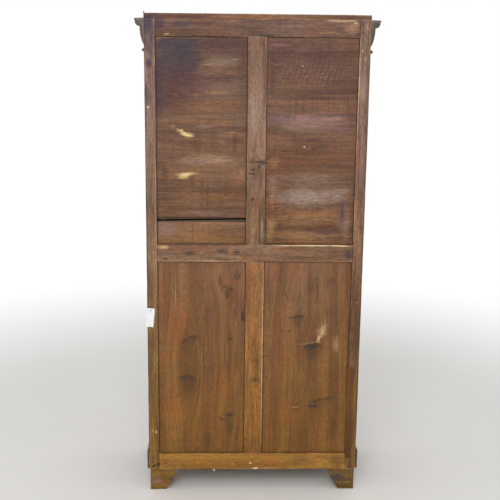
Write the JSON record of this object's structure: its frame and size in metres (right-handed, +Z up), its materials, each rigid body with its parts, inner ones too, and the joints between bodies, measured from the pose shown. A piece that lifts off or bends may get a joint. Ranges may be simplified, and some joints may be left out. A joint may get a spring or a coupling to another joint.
{
  "type": "panelled cupboard",
  "caption": "Tall free-standing wooden press with a framed and panelled back, fielded doors on butt hinges, a box lock with key, rod bolts, inner shelves, cornice and bracket feet.",
  "frame": {"origin": "on the floor under the middle of the cupboard's bounding box, cornice included", "axes": "+Z up, +Y out of the panelled back, -Y out of the doors, +X to the right as seen from the doors"},
  "size_m": [1.006, 0.488, 2.1],
  "materials": {
    "frame_wood": "dark waxed hardwood, worn edges",
    "panel_wood": "dark brown hardwood boards",
    "inside_wood": "plain planed boards",
    "peg_wood": "riven pegs, flush",
    "brass": "aged brass",
    "iron": "dark wrought iron"
  },
  "bodies": {
    "carcass": {"back_bottom_rail": "frame_wood", "back_lower_muntin": "frame_wood", "back_lower_panel_left": "panel_wood", "back_lower_panel_right": "panel_wood", "back_middle_rail": "frame_wood", "back_slip_board": "panel_wood", "back_top_rail": "frame_wood", "back_upper_muntin": "frame_wood", "back_upper_panel_left": "panel_wood", "back_upper_panel_right": "panel_wood", "base_moulding_front": "frame_wood", "base_moulding_left": "frame_wood", "base_moulding_right": "frame_wood", "bottom_board": "inside_wood", "cornice_front": "frame_wood", "cornice_left": "frame_wood", "cornice_right": "frame_wood", "foot_front_left": "frame_wood", "foot_front_right": "frame_wood", "foot_rear_left": "frame_wood", "foot_rear_right": "frame_wood", "frame_pegs": "peg_wood", "front_bottom_rail": "frame_wood", "front_post_left": "frame_wood", "front_post_right": "frame_wood", "front_top_rail": "frame_wood", "hinge_frame_leaves": "brass", "hinge_pins": "brass", "inner_battens": "inside_wood", "neck_beads": "frame_wood", "rear_post_left": "frame_wood", "rear_post_right": "frame_wood", "shelf_lower": "inside_wood", "shelf_middle": "inside_wood", "shelf_upper": "inside_wood", "side_panels_left": "panel_wood", "side_panels_right": "panel_wood", "side_rails_left": "frame_wood", "side_rails_right": "frame_wood", "top_board": "inside_wood"},
    "door_left": {"door_left_hinge_leaves": "brass", "door_left_hinge_stile": "frame_wood", "door_left_lower_panel": "panel_wood", "door_left_meeting_stile": "frame_wood", "door_left_rails": "frame_wood", "door_left_upper_panel": "panel_wood", "lock_keeper": "iron", "bolt_guides": "iron"},
    "door_right": {"door_right_hinge_leaves": "brass", "door_right_hinge_stile": "frame_wood", "door_right_lower_panel": "panel_wood", "door_right_meeting_stile": "frame_wood", "door_right_rails": "frame_wood", "door_right_upper_panel": "panel_wood", "lock_case": "iron", "keyhole_plate": "brass"},
    "lock_bolt": {"lock_bolt": "iron"},
    "key": {"key": "iron"},
    "top_bolt": {"top_bolt": "iron"},
    "bottom_bolt": {"bottom_bolt": "iron"}
  },
  "joints": [
    {"name": "door_left_swing", "type": "hinge", "parent": "carcass", "child": "door_left", "pos_m": [-0.419, -0.2123, 1.07], "axis": [0, 0, -1], "range_deg": [0, 170]},
    {"name": "door_right_swing", "type": "hinge", "parent": "carcass", "child": "door_right", "pos_m": [0.419, -0.2123, 1.07], "axis": [0, 0, 1], "range_deg": [0, 170]},
    {"name": "key_turn", "type": "hinge", "parent": "door_right", "child": "key", "pos_m": [0.0455, -0.206, 1.1005], "axis": [0, -1, 0], "range_deg": [0, 180]},
    {"name": "lock_bolt_slide", "type": "slide", "parent": "door_right", "child": "lock_bolt", "axis": [-1, 0, 0], "range_m": [0, 0.018]},
    {"name": "top_bolt_slide", "type": "slide", "parent": "door_left", "child": "top_bolt", "axis": [0, 0, 1], "range_m": [0, 0.02]},
    {"name": "bottom_bolt_slide", "type": "slide", "parent": "door_left", "child": "bottom_bolt", "axis": [0, 0, -1], "range_m": [0, 0.02]}
  ],
  "couplings": [
    {"joint": "key_turn", "follows": "lock_bolt_slide", "rad_per_m": 174.5}
  ]
}
